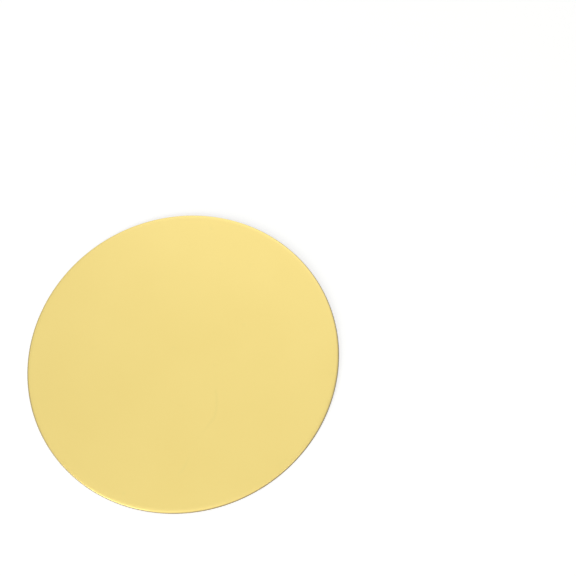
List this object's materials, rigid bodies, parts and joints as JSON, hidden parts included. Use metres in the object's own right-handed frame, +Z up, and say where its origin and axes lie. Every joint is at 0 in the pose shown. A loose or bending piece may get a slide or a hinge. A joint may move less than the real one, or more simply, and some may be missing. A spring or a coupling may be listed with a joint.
{
  "type": "cake board",
  "caption": "Thin round card board with a gold film face and a die-cut edge, laid flat to carry and serve a cake",
  "frame": {"origin": "centre of the underside, on the surface that the board rests on", "axes": "+Z up, out of the gold face; X and Y lie in the board, which is round, so they may point anywhere in it"},
  "size_m": [0.2032, 0.2032, 0.0016],
  "materials": {
    "gold_faced_card": "satin"
  },
  "bodies": {
    "root": {"cake_board": "gold_faced_card"}
  },
  "joints": []
}
